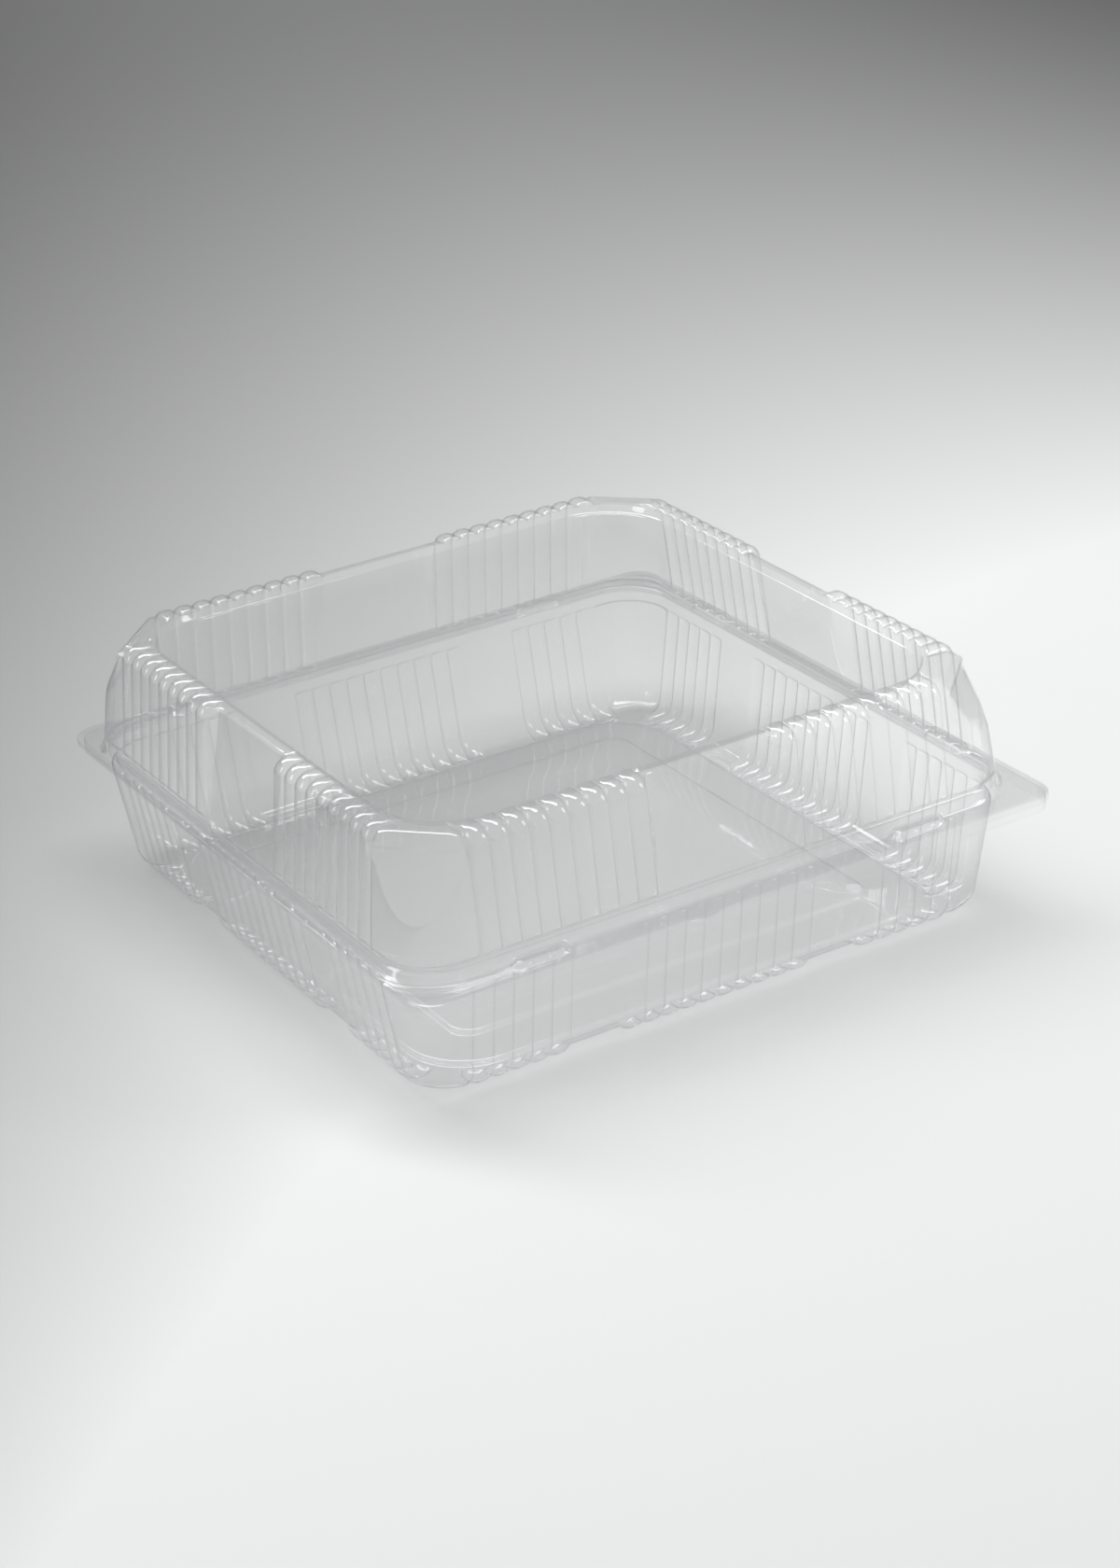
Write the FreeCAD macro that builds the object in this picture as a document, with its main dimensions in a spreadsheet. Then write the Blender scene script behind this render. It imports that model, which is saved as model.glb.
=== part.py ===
"""Clear hinged clamshell pack: a ribbed tray, a ribbed domed lid and the fold that joins them.

Millimetres, +Z up. The long side with the pointed nose faces -Y and the hinge runs along the
-X side. The sketches are drawn round the middle of the dome; the three nodes are then moved so
that the origin is the centre of the whole closed pack's outline, on the table.
"""
import FreeCAD, Part
import Sketcher
import math
import os

SHEET = [
    ("wall", 0.5, "thickness of the formed sheet"),
    ("rim_height", 42.8, "table to the top of the lid's flange"),
    ("rim_left", 110.5, "centre to the hinge edge"),
    ("rim_right", 116.0, "centre to the right edge of the lid's flange"),
    ("rim_front", 118.0, "centre to the front and back edges of the lid's flange"),
    ("rim_corner", 8.0, "corner radius of the lid's flange"),
    ("rim_gap", 0.3, "clearance between lid and tray where they lie on each other"),
    ("lid_lip", 2.3, "depth of the lip turned down round the lid"),
    ("tray_lip", 5.5, "depth of the tray's lip under the top of the lid's flange"),
    ("hinge_setback", 2.2, "how far the tray's left edge stands back from the fold"),
    ("hinge_half", 69.0, "half the length of the fold"),
    ("hinge_play", 0.1, "distance from the two edges to the hinge line"),
    ("film", 0.2, "thickness of the sheet in the fold"),
    ("film_gap", 0.05, "air between the fold and the two edges"),
    ("shoulder_foot", 110.2, "half width of the lid's shoulder at the flange"),
    ("shoulder_land", 108.2, "half width of the shoulder at its top"),
    ("shoulder_corner", 20.0, "corner radius of the shoulder at the flange"),
    ("land_corner", 18.0, "corner radius of the shoulder at its top"),
    ("shoulder_rise", 4.0, "height of the shoulder over the flange"),
    ("dome_foot", 106.0, "half width of the lid's wall at the shoulder"),
    ("dome_corner", 18.0, "corner radius of the lid's wall at the shoulder"),
    ("dome_crown", 102.6, "half width of the lid's wall at the border"),
    ("crown_corner", 20.0, "corner radius of the lid's wall at the border"),
    ("crown_round", 5.0, "width and height of the bevel round the dome's upper edge"),
    ("lid_rise", 40.5, "height of the top border over the flange"),
    ("recess_edge", 94.5, "half width of the sunk top panel at the border"),
    ("recess_foot", 93.5, "half width of the sunk top panel at its floor"),
    ("recess_corner", 25.0, "corner radius of the sunk top panel at the border"),
    ("panel_foot_corner", 24.0, "corner radius of the sunk top panel at its floor"),
    ("recess_depth", 2.5, "depth of the sunk top panel"),
    ("rib_pitch", 6.6, "distance from rib to rib"),
    ("rib_flat", 2.8, "width of a rib's crest"),
    ("rib_root", 1.0, "how far a rib reaches into the wall behind it"),
    ("rib_lift", 0.1, "how far the grooves between ribs stand over the wall's face"),
    ("rib_side", 0.2, "how much narrower each side of a rib is on the inside"),
    ("rib_sink", 0.8, "how much the ribs sink in past the rounded edge"),
    ("rib_tail", 1.2, "length of a rib past the rounded edge"),
    ("lid_rib_depth", 1.8, "height of the lid's ribs over the wall"),
    ("lid_rib_seat", 0.5, "how far the ribs reach down into the shoulder"),
    ("lid_row_middle", 52.7, "centre line to the middle of a row of lid ribs"),
    ("snap_place", 67.0, "centre line to the middle of a snap"),
    ("snap_length", 13.2, "distance between the end centres of a tray snap"),
    ("snap_radius", 2.4, "half width of a tray snap"),
    ("snap_line", 110.9, "centre to the line of the snaps"),
    ("snap_rise", 1.9, "height of a tray snap over the tray's flange"),
    ("nose_place", 15.0, "centre line to the tip of the nose"),
    ("nose_half", 10.0, "half width of the nose"),
    ("nose_reach", 2.5, "how far the nose stands out"),
    ("ridge_rise", 3.0, "height of the tray's sealing ridge over its flange"),
    ("tray_mouth", 105.6, "half width of the tray's wall at its flange"),
    ("mouth_corner", 20.0, "corner radius of the tray's wall at its flange"),
    ("foot_half", 101.0, "half width of the tray's wall at the table"),
    ("foot_corner", 15.0, "corner radius of the tray's wall at the table"),
    ("foot_round", 6.4, "width and height of the bevel round the tray's lower edge"),
    ("tray_rib_depth", 1.5, "height of the tray's ribs over the wall"),
    ("tray_rib_drop", 3.0, "distance from the tray's flange to the top of its ribs"),
    ("tray_row_middle", 69.1, "centre line to the middle of a corner row of tray ribs"),
    ("floor_half", 93.5, "half width of the raised floor"),
    ("floor_corner", 21.0, "corner radius of the raised floor"),
    ("floor_rise", 1.5, "height of the raised floor"),
    ("panel_half", 75.5, "half width of the floor's middle panel"),
    ("panel_corner", 6.0, "corner radius of the middle panel"),
    ("panel_rise", 1.5, "height of the middle panel over the raised floor"),
    ("fold_reach", "=rim_left + hinge_play + wall + rim_gap / 2 + film_gap + film",
     "centre line to the outside of the fold"),
    ("shift_across", "=(fold_reach - rim_right) / 2", "how far the pack is moved towards +X"),
    ("shift_along", "=nose_reach / 2", "how far the pack is moved towards +Y"),
    ("lid_wall_drop", "=lid_rise - crown_round - shoulder_rise + lid_rib_seat",
     "height of the lid's wall along a rib"),
    ("lid_slant", "=sqrt(1 + ((dome_foot - dome_crown) / lid_wall_drop)^2)",
     "length of the lid's wall over its height"),
    ("tray_wall_drop", "=rim_height - wall - rim_gap - tray_rib_drop - tray_rib_depth + rib_sink"
     " - foot_round", "height of the tray's wall along a rib"),
    ("tray_slant", "=sqrt(1 + ((tray_mouth - foot_half) / tray_wall_drop)^2)",
     "length of the tray's wall over its height"),
]

LID_ROW = 9
TRAY_CORNER_ROW = 5
TRAY_MIDDLE_ROW = 10
SIDES = 4
SNAP_SIDES = 3

RIM = "Sizes.rim_height"
LID_LIP_BOTTOM = "(Sizes.rim_height - Sizes.lid_lip)"
SHOULDER_TOP = "(Sizes.rim_height + Sizes.shoulder_rise)"
BORDER = "(Sizes.rim_height + Sizes.lid_rise)"
NEST = "(Sizes.wall + Sizes.rim_gap)"
TRAY_RIM = "(Sizes.rim_height - Sizes.wall - Sizes.rim_gap)"
TRAY_LIP_BOTTOM = "(Sizes.rim_height - Sizes.tray_lip)"
RIDGE_TOP = "(Sizes.rim_height - Sizes.wall - Sizes.rim_gap + Sizes.ridge_rise)"
RIDGE_HALF = "(Sizes.shoulder_land - Sizes.wall - Sizes.rim_gap)"
FOOT_LAND = "(Sizes.tray_rib_depth - Sizes.rib_sink)"
HINGE_LINE = "(Sizes.rim_left + Sizes.hinge_play)"
HINGE_HEIGHT = "(Sizes.rim_height - Sizes.wall - Sizes.rim_gap / 2)"


def make_sheet(doc):
    sheet = doc.addObject("Spreadsheet::Sheet", "Sizes")
    for row, (alias, value, note) in enumerate(SHEET, start=1):
        sheet.set("A%d" % row, note)
        sheet.set("B%d" % row, str(value))
        sheet.setAlias("B%d" % row, alias)
    doc.recompute()
    return sheet


def make_body(doc, label):
    return doc.addObject("PartDesign::Body", label)


def origin_item(body, role):
    return next(item for item in body.Origin.OriginFeatures if item.Role == role)


def make_sketch(body, name, level="0", role="XY_Plane", across=None, along=None):
    """An empty sketch, raised by level and moved by across and along in its own plane."""
    sketch = body.newObject("Sketcher::SketchObject", name)
    sketch.AttachmentSupport = [(origin_item(body, role), "")]
    sketch.MapMode = "FlatFace"
    sketch.setExpression("AttachmentOffset.Base.z", level)
    if across:
        sketch.setExpression("AttachmentOffset.Base.x", across)
    if along:
        sketch.setExpression("AttachmentOffset.Base.y", along)
    return sketch


def size_now(sketch, expression):
    """The expression's value in millimetres, at which the geometry is first drawn."""
    return float(sketch.evalExpression(expression))


def bind(sketch, kind, geometry, expression, name):
    """One named size of a sketch, tied to the sheet."""
    value = size_now(sketch, expression)
    index = sketch.addConstraint(Sketcher.Constraint(kind, *geometry, value))
    sketch.renameConstraint(index, name)
    sketch.setExpression("Constraints." + name, expression)


def bind_point(sketch, geometry, point, across, along, name):
    """Both coordinates of a point, each measured from the sketch's origin."""
    bind(sketch, "DistanceX", (-1, 1, geometry, point), across, name + "_x")
    bind(sketch, "DistanceY", (-1, 1, geometry, point), along, name + "_y")


def draw_outline(sketch, left, right, front, back, corner, mark="rim"):
    """A rectangle with round corners, its four sides measured from the sketch's origin."""
    radius = size_now(sketch, corner)
    x_low, x_high = -size_now(sketch, left), size_now(sketch, right)
    y_low, y_high = -size_now(sketch, front), size_now(sketch, back)
    vector = FreeCAD.Vector
    up = vector(0, 0, 1)
    centres = [(x_high - radius, y_low + radius), (x_high - radius, y_high - radius),
               (x_low + radius, y_high - radius), (x_low + radius, y_low + radius)]
    outward = [(0, -radius), (radius, 0), (0, radius), (-radius, 0)]
    first = sketch.GeometryCount
    for side in range(4):
        start, end = centres[side - 1], centres[side]
        along, across = outward[side]
        sketch.addGeometry(Part.LineSegment(vector(start[0] + along, start[1] + across, 0),
                                            vector(end[0] + along, end[1] + across, 0)))
    for side, (x, y) in enumerate(centres):
        circle = Part.Circle(vector(x, y, 0), up, radius)
        start = math.pi * (side / 2 - 0.5)
        sketch.addGeometry(Part.ArcOfCircle(circle, start, start + math.pi / 2))
    for side in range(4):
        line = first + side
        arc = first + 4 + side
        following = first + (side + 1) % 4
        sketch.addConstraint(Sketcher.Constraint("Tangent", line, 2, arc, 1))
        sketch.addConstraint(Sketcher.Constraint("Tangent", arc, 2, following, 1))
        level = "Horizontal" if side % 2 == 0 else "Vertical"
        sketch.addConstraint(Sketcher.Constraint(level, line))
        if side:
            sketch.addConstraint(Sketcher.Constraint("Equal", first + 4, arc))
    bind(sketch, "Radius", (first + 4,), corner, mark + "_corner")
    bind(sketch, "DistanceY", (first, 1, -1, 1), front, mark + "_front")
    bind(sketch, "DistanceX", (-1, 1, first + 1, 1), right, mark + "_right")
    bind(sketch, "DistanceY", (-1, 1, first + 2, 1), back, mark + "_back")
    bind(sketch, "DistanceX", (first + 3, 1, -1, 1), left, mark + "_left")


def square_outline(body, name, level, half, corner):
    sketch = make_sketch(body, name, level)
    draw_outline(sketch, half, half, half, half, corner)
    return sketch


def draw_box(sketch, left, right, half):
    """A plain rectangle left of the sketch's origin, half as long as half to each side of it."""
    x_low, x_high = -size_now(sketch, left), -size_now(sketch, right)
    y_high = size_now(sketch, half)
    vector = FreeCAD.Vector
    corners = [(x_low, -y_high), (x_high, -y_high), (x_high, y_high), (x_low, y_high)]
    for side in range(4):
        start = vector(*corners[side], 0)
        end = vector(*corners[(side + 1) % 4], 0)
        sketch.addGeometry(Part.LineSegment(start, end))
    for side in range(4):
        sketch.addConstraint(Sketcher.Constraint("Coincident", side, 2, (side + 1) % 4, 1))
        level = "Horizontal" if side % 2 == 0 else "Vertical"
        sketch.addConstraint(Sketcher.Constraint(level, side))
    bind(sketch, "DistanceX", (0, 1, -1, 1), left, "box_left")
    bind(sketch, "DistanceX", (0, 2, -1, 1), right, "box_right")
    bind(sketch, "DistanceY", (0, 1, -1, 1), half, "box_front")
    bind(sketch, "DistanceY", (-1, 1, 2, 1), half, "box_back")


def pad(body, name, sketch, length):
    feature = body.newObject("PartDesign::Pad", name)
    feature.Profile = sketch
    feature.setExpression("Length", length)
    return feature


def pocket_up(body, name, sketch, depth):
    feature = body.newObject("PartDesign::Pocket", name)
    feature.Profile = sketch
    feature.Reversed = True
    feature.setExpression("Length", depth)
    return feature


def loft(body, kind, name, sections):
    feature = body.newObject("PartDesign::" + kind, name)
    feature.Profile = sections[0]
    feature.Sections = sections[1:]
    feature.Ruled = True
    return feature


def places(sketch, spots):
    """Where the spots, each two expressions, lie now."""
    return [FreeCAD.Vector(size_now(sketch, across), size_now(sketch, along), 0)
            for across, along in spots]


def draw_loop(sketch, spots):
    """A closed outline of straight runs through the given places."""
    found = places(sketch, spots)
    count = len(spots)
    for index in range(count):
        sketch.addGeometry(Part.LineSegment(found[index], found[(index + 1) % count]))
    for index in range(count):
        sketch.addConstraint(Sketcher.Constraint("Coincident", index, 2, (index + 1) % count, 1))
    for index, (across, along) in enumerate(spots):
        bind_point(sketch, index, 1, across, along, "p%d" % index)


def draw_path(sketch, spots):
    """An open path of straight runs through the given places."""
    found = places(sketch, spots)
    last = len(spots) - 1
    for index in range(last):
        sketch.addGeometry(Part.LineSegment(found[index], found[index + 1]))
        if index:
            sketch.addConstraint(Sketcher.Constraint("Coincident", index - 1, 2, index, 1))
    for index, (across, along) in enumerate(spots):
        place = (index - 1, 2) if index == last else (index, 1)
        bind_point(sketch, *place, across, along, "p%d" % index)


def row_section(body, name, count, middle, half, level, depth, inside):
    """The section of a row of ribs on the back wall, middle being the row's place in x.

    The sketch's origin stands one pitch before the row and one root behind the ribs' root.
    """
    across = "-(%s) - %g * Sizes.rib_pitch" % (middle, count / 2 + 1)
    along = "%s - 2 * Sizes.rib_root" % half
    sketch = make_sketch(body, name, level, across=across, along=along)
    valley = "2 * Sizes.rib_root + Sizes.rib_lift"
    crest = "2 * Sizes.rib_root + %s" % depth
    side = "Sizes.rib_side" if inside else "0"
    flat = "(Sizes.rib_flat / 2 - %s)" % side
    spots = [("Sizes.rib_pitch + %s" % side, "Sizes.rib_root")]
    for rib in range(1, count + 1):
        start = "%d * Sizes.rib_pitch" % rib
        centre = "%g * Sizes.rib_pitch" % (rib + 0.5)
        if inside or rib == 1:
            spots.append(("%s + %s" % (start, side), valley))
        spots.append(("%s - %s" % (centre, flat), crest))
        spots.append(("%s + %s" % (centre, flat), crest))
        spots.append(("%d * Sizes.rib_pitch - %s" % (rib + 1, side), valley))
    spots.append(("%d * Sizes.rib_pitch - %s" % (count + 1, side), "Sizes.rib_root"))
    draw_loop(sketch, spots)
    return sketch


def add_rows(body, name, section, path, both_ends=None):
    """Sweep a row of ribs over the edge, then repeat it along the side and on each side."""
    sweep = body.newObject("PartDesign::AdditivePipe", name)
    sweep.Profile = section
    sweep.Spine = (path, ["Edge%d" % (run + 1) for run in range(path.GeometryCount)])
    sweep.Transition = "Right corner"
    sweep.Refine = False
    return repeat(body, name + "_all", sweep, SIDES, 360, both_ends)


def repeat(body, name, feature, turns, angle, both_ends=None):
    """Copies of a feature at the two ends of a side and on the given number of sides."""
    spread = body.newObject("PartDesign::MultiTransform", name)
    spread.Originals = [feature]
    spread.Refine = False
    steps = []
    if both_ends:
        line = body.newObject("PartDesign::LinearPattern", name + "_ends")
        line.Direction = (origin_item(body, "X_Axis"), [""])
        line.setExpression("Length", both_ends)
        line.Occurrences = 2
        steps.append(line)
    ring = body.newObject("PartDesign::PolarPattern", name + "_sides")
    ring.Axis = (origin_item(body, "Z_Axis"), [""])
    ring.Angle = angle
    ring.Occurrences = turns
    steps.append(ring)
    spread.Transformations = steps
    body.Tip = spread
    return spread


def draw_slot(sketch, radius):
    """A slot along x whose left end centre is the sketch's origin."""
    vector = FreeCAD.Vector
    up = vector(0, 0, 1)
    run = size_now(sketch, "Sizes.snap_length")
    size = size_now(sketch, radius)
    left = Part.Circle(vector(0, 0, 0), up, size)
    right = Part.Circle(vector(run, 0, 0), up, size)
    sketch.addGeometry(Part.LineSegment(vector(0, -size, 0), vector(run, -size, 0)))
    sketch.addGeometry(Part.ArcOfCircle(right, -math.pi / 2, math.pi / 2))
    sketch.addGeometry(Part.LineSegment(vector(run, size, 0), vector(0, size, 0)))
    sketch.addGeometry(Part.ArcOfCircle(left, math.pi / 2, 3 * math.pi / 2))
    for index in range(4):
        sketch.addConstraint(Sketcher.Constraint("Tangent", index, 2, (index + 1) % 4, 1))
    sketch.addConstraint(Sketcher.Constraint("Horizontal", 0))
    sketch.addConstraint(Sketcher.Constraint("Coincident", 3, 3, -1, 1))
    bind(sketch, "Radius", (3,), radius, "end_radius")
    bind(sketch, "DistanceX", (3, 3, 1, 3), "Sizes.snap_length", "end_spacing")


def add_snaps(body, name, level, rise, radius, hollow=False):
    """Snap buttons at both ends of the front, the right side and the back."""
    across = "-Sizes.snap_place - Sizes.snap_length / 2"
    sketch = make_sketch(body, name + "_outline", level, across=across, along="-Sizes.snap_line")
    draw_slot(sketch, radius)
    make = pocket_up if hollow else pad
    button = make(body, name, sketch, rise)
    return repeat(body, name + "_all", button, SNAP_SIDES, 180, "2 * Sizes.snap_place")


def draw_nose(sketch, inset):
    """The pointed nose on the front edge, with its root inside the flange."""
    root = "-Sizes.rim_front + 2 * (%s) + Sizes.wall" % inset
    left = "-Sizes.nose_place - Sizes.nose_half"
    right = "-Sizes.nose_place + Sizes.nose_half"
    edge = "-Sizes.rim_front + %s" % inset
    tip = "-Sizes.rim_front - Sizes.nose_reach + %s" % inset
    spots = [
        (left, root),
        (left, edge),
        ("-Sizes.nose_place", tip),
        (right, edge),
        (right, root),
    ]
    draw_loop(sketch, spots)


def add_rim(body, name, bottom, height, inset, left):
    """The block of a flange with its nose, from the bottom of the lip upwards."""
    outline = make_sketch(body, name + "_outline", bottom)
    right = "Sizes.rim_right - %s" % inset
    front = "Sizes.rim_front - %s" % inset
    draw_outline(outline, left, right, front, front, "Sizes.rim_corner - %s" % inset)
    pad(body, name, outline, height)
    nose = make_sketch(body, name + "_nose_outline", bottom)
    draw_nose(nose, inset)
    return pad(body, name + "_nose", nose, height)


def lid_form(doc, label, inset, lip_over):
    """The lid's outer face as a solid, or its inner face when inset is the wall."""
    body = make_body(doc, label)
    inside = inset != "0"
    top = RIM + " - " + inset
    bottom = LID_LIP_BOTTOM + " - " + lip_over
    height = "Sizes.lid_lip + %s - %s" % (lip_over, inset)
    add_rim(body, "rim", bottom, height, inset, "Sizes.rim_left - " + inset)
    if inside:
        free = make_sketch(body, "free_edge_outline", bottom)
        reach = "Sizes.hinge_half + Sizes.rim_gap"
        draw_box(free, "Sizes.rim_left + Sizes.wall", "Sizes.rim_left - 2 * Sizes.wall", reach)
        pad(body, "free_edge", free, height)
    land = SHOULDER_TOP + " - " + inset
    corner = "Sizes.shoulder_corner - " + inset
    foot = square_outline(body, "shoulder_foot", top, "Sizes.shoulder_foot - " + inset, corner)
    corner = "Sizes.land_corner - " + inset
    ledge = square_outline(body, "shoulder_land", land, "Sizes.shoulder_land - " + inset, corner)
    loft(body, "AdditiveLoft", "shoulder", [foot, ledge])

    border = BORDER + " - " + inset
    half = "Sizes.dome_crown - " + inset
    low = "Sizes.crown_round"
    corner = "Sizes.crown_corner - " + inset
    sections = [
        square_outline(body, "wall_foot", land, "Sizes.dome_foot - " + inset,
                       "Sizes.dome_corner - " + inset),
        square_outline(body, "wall_top", "%s - %s" % (border, low), half, corner),
        square_outline(body, "crown_top", border, "%s - %s" % (half, low),
                       "%s - %s" % (corner, low)),
    ]
    loft(body, "AdditiveLoft", "dome", sections)
    sections = [
        square_outline(body, "panel_edge", border, "Sizes.recess_edge + " + inset,
                       "Sizes.recess_corner + " + inset),
        square_outline(body, "panel_foot", "%s - Sizes.recess_depth" % border,
                       "Sizes.recess_foot + " + inset, "Sizes.panel_foot_corner + " + inset),
    ]
    loft(body, "SubtractiveLoft", "panel", sections)
    add_snaps(body, "snap", top, "Sizes.snap_rise",
              "Sizes.snap_radius + Sizes.rim_gap + Sizes.wall - " + inset)

    start = "%s - Sizes.lid_rib_seat" % land
    section = row_section(body, "rib_section", LID_ROW, "Sizes.lid_row_middle",
                          "Sizes.dome_foot - " + inset, start,
                          "Sizes.lid_rib_depth * Sizes.lid_slant", inside)
    path = make_sketch(body, "rib_path", "0", "YZ_Plane")
    sunk = "%s - Sizes.rib_sink" % border
    spots = [
        ("Sizes.dome_foot - " + inset, start),
        (half, "%s - %s" % (border, low)),
        ("%s - %s" % (half, low), sunk),
        ("%s - %s - Sizes.rib_tail" % (half, low), sunk),
    ]
    draw_path(path, spots)
    add_rows(body, "ribs", section, path, "2 * Sizes.lid_row_middle")
    return body


def add_tray_ribs(body, name, count, middle, inset, both_ends=None):
    """Rows of ribs from under the tray's flange, round the lower edge to the table."""
    inside = inset != "0"
    land = FOOT_LAND + " + " + inset
    start = TRAY_RIM + " - Sizes.tray_rib_drop"
    section = row_section(body, name + "_section", count, middle, "Sizes.tray_mouth - " + inset,
                          start, "Sizes.tray_rib_depth * Sizes.tray_slant", inside)
    path = make_sketch(body, name + "_path", "0", "YZ_Plane")
    half = "Sizes.foot_half - " + inset
    sunk = "%s + Sizes.rib_sink" % land
    spots = [
        ("Sizes.tray_mouth - " + inset, start),
        (half, "%s + Sizes.foot_round" % land),
        ("%s - Sizes.foot_round" % half, sunk),
        ("%s - Sizes.foot_round - Sizes.rib_tail" % half, sunk),
    ]
    draw_path(path, spots)
    return add_rows(body, name, section, path, both_ends)


def tray_wall(body, top, inset):
    """The tray's flared wall with the rounded lower edge, up to the given height."""
    land = FOOT_LAND + " + " + inset
    mouth = "Sizes.tray_mouth - " + inset
    half = "Sizes.foot_half - " + inset
    corner = "Sizes.foot_corner - " + inset
    sections = [
        square_outline(body, "wall_mouth", top, mouth, "Sizes.mouth_corner - " + inset),
        square_outline(body, "wall_foot", "%s + Sizes.foot_round" % land, half, corner),
        square_outline(body, "foot_land", land, "%s - Sizes.foot_round" % half,
                       "%s - Sizes.foot_round" % corner),
    ]
    loft(body, "AdditiveLoft", "wall", sections)


def raise_floor(body, inset):
    """The two steps of the floor, pressed up from below."""
    land = FOOT_LAND + " + " + inset
    first = square_outline(body, "floor_outline", land, "Sizes.floor_half + " + inset,
                           "Sizes.floor_corner")
    pocket_up(body, "floor", first, "Sizes.floor_rise")
    second = square_outline(body, "middle_outline", land, "Sizes.panel_half + " + inset,
                            "Sizes.panel_corner")
    return pocket_up(body, "middle", second, "Sizes.floor_rise + Sizes.panel_rise")


def tray_outside(doc):
    """The tray's outer face as a solid, hollow under the flange."""
    body = make_body(doc, "tray_outside")
    height = "Sizes.tray_lip - Sizes.wall - Sizes.rim_gap"
    left = "Sizes.rim_left - Sizes.hinge_setback"
    add_rim(body, "rim", TRAY_LIP_BOTTOM, height, NEST, left)

    tongue = make_sketch(body, "tongue_outline", TRAY_RIM + " - Sizes.wall")
    draw_box(tongue, "Sizes.rim_left - Sizes.hinge_play", left, "Sizes.hinge_half")
    pad(body, "tongue", tongue, "Sizes.wall")

    below = make_sketch(body, "under_rim_outline", TRAY_LIP_BOTTOM)
    inset = NEST + " + Sizes.wall"
    front = "Sizes.rim_front - (%s)" % inset
    draw_outline(below, left + " - Sizes.wall", "Sizes.rim_right - (%s)" % inset, front, front,
                 "Sizes.rim_corner - (%s)" % inset)
    pocket_up(body, "under_rim", below, height + " - Sizes.wall")
    nose = make_sketch(body, "under_nose_outline", TRAY_LIP_BOTTOM)
    draw_nose(nose, inset)
    pocket_up(body, "under_nose", nose, height + " - Sizes.wall")

    plate = TRAY_RIM + " - Sizes.wall"
    corner = "Sizes.land_corner - " + NEST
    ridge = square_outline(body, "ridge_outline", plate, RIDGE_HALF, corner)
    pad(body, "ridge", ridge, "Sizes.ridge_rise + Sizes.wall")
    fold = make_sketch(body, "ridge_fold_outline", plate)
    half = RIDGE_HALF + " - Sizes.wall"
    draw_outline(fold, half, half, half, half, corner + " - Sizes.wall", "outer")
    half = "Sizes.tray_mouth"
    draw_outline(fold, half, half, half, half, "Sizes.mouth_corner", "inner")
    pocket_up(body, "ridge_fold", fold, "Sizes.ridge_rise")
    add_snaps(body, "snap", plate, "Sizes.snap_rise + Sizes.wall", "Sizes.snap_radius")
    add_snaps(body, "snap_hollow", plate, "Sizes.snap_rise", "Sizes.snap_radius - Sizes.wall", True)

    tray_wall(body, plate, "0")
    raise_floor(body, "0")
    add_tray_ribs(body, "corner_ribs", TRAY_CORNER_ROW, "Sizes.tray_row_middle", "0",
                  "2 * Sizes.tray_row_middle")
    add_tray_ribs(body, "middle_ribs", TRAY_MIDDLE_ROW, "0", "0")
    return body


def tray_inside(doc):
    """The space in the tray, up to the top of its sealing ridge."""
    body = make_body(doc, "tray_inside")
    tray_wall(body, RIDGE_TOP, "Sizes.wall")
    raise_floor(body, "Sizes.wall")
    add_tray_ribs(body, "corner_ribs", TRAY_CORNER_ROW, "Sizes.tray_row_middle", "Sizes.wall",
                  "2 * Sizes.tray_row_middle")
    add_tray_ribs(body, "middle_ribs", TRAY_MIDDLE_ROW, "0", "Sizes.wall")
    return body


def hinge_form(doc):
    """The fold: half a tube of thin sheet round the hinge line."""
    body = make_body(doc, "hinge_strip")
    sketch = make_sketch(body, "fold_section", "-Sizes.hinge_half", "XZ_Plane",
                         across="-" + HINGE_LINE, along=HINGE_HEIGHT)
    clear = "Sizes.wall + Sizes.rim_gap / 2 + Sizes.film_gap"
    around = clear + " + Sizes.film"
    inner = size_now(sketch, clear)
    outer = size_now(sketch, around)
    vector = FreeCAD.Vector
    up = vector(0, 0, 1)
    centre = vector(0, 0, 0)
    top, bottom = math.pi / 2, 3 * math.pi / 2
    sketch.addGeometry(Part.ArcOfCircle(Part.Circle(centre, up, inner), top, bottom))
    sketch.addGeometry(Part.ArcOfCircle(Part.Circle(centre, up, outer), top, bottom))
    sketch.addGeometry(Part.LineSegment(vector(0, inner, 0), vector(0, outer, 0)))
    sketch.addGeometry(Part.LineSegment(vector(0, -inner, 0), vector(0, -outer, 0)))
    for arc in (0, 1):
        sketch.addConstraint(Sketcher.Constraint("Coincident", arc, 3, -1, 1))
        sketch.addConstraint(Sketcher.Constraint("Coincident", arc, 1, 2, arc + 1))
        sketch.addConstraint(Sketcher.Constraint("Coincident", arc, 2, 3, arc + 1))
        sketch.addConstraint(Sketcher.Constraint("Vertical", arc, 1, -1, 1))
    sketch.addConstraint(Sketcher.Constraint("Vertical", 0, 2, -1, 1))
    sketch.addConstraint(Sketcher.Constraint("Vertical", 1, 2, -1, 1))
    bind(sketch, "Radius", (0,), clear, "fold_inner")
    bind(sketch, "Radius", (1,), around, "fold_outer")
    pad(body, "fold", sketch, "2 * Sizes.hinge_half")
    return body


def cut(doc, label, base, tool):
    result = doc.addObject("Part::Cut", label)
    result.Base = base
    result.Tool = tool
    result.Refine = False
    return result


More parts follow.
